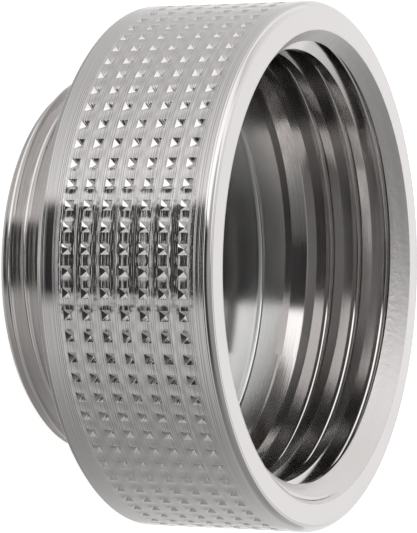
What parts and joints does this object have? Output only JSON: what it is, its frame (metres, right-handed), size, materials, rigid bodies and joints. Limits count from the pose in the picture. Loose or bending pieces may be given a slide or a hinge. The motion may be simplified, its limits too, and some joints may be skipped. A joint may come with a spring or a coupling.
{
  "type": "water filter adapter",
  "caption": "Turned, plated brass adapter ring that joins a water filter to a tap: wide inside-threaded mouth, narrow outside-threaded spigot and a knurled grip.",
  "frame": {"origin": "on the axis, in the plane of the spigot's free end", "axes": "+Z along the axis, from the spigot to the wide mouth; +X and +Y are across it, and the part is round about Z"},
  "size_m": [0.03, 0.03, 0.015],
  "materials": {
    "plated_metal": "turned and plated, semi-gloss, with fine rings from the lathe"
  },
  "bodies": {
    "root": {"adapter_body": "plated_metal"}
  },
  "joints": []
}
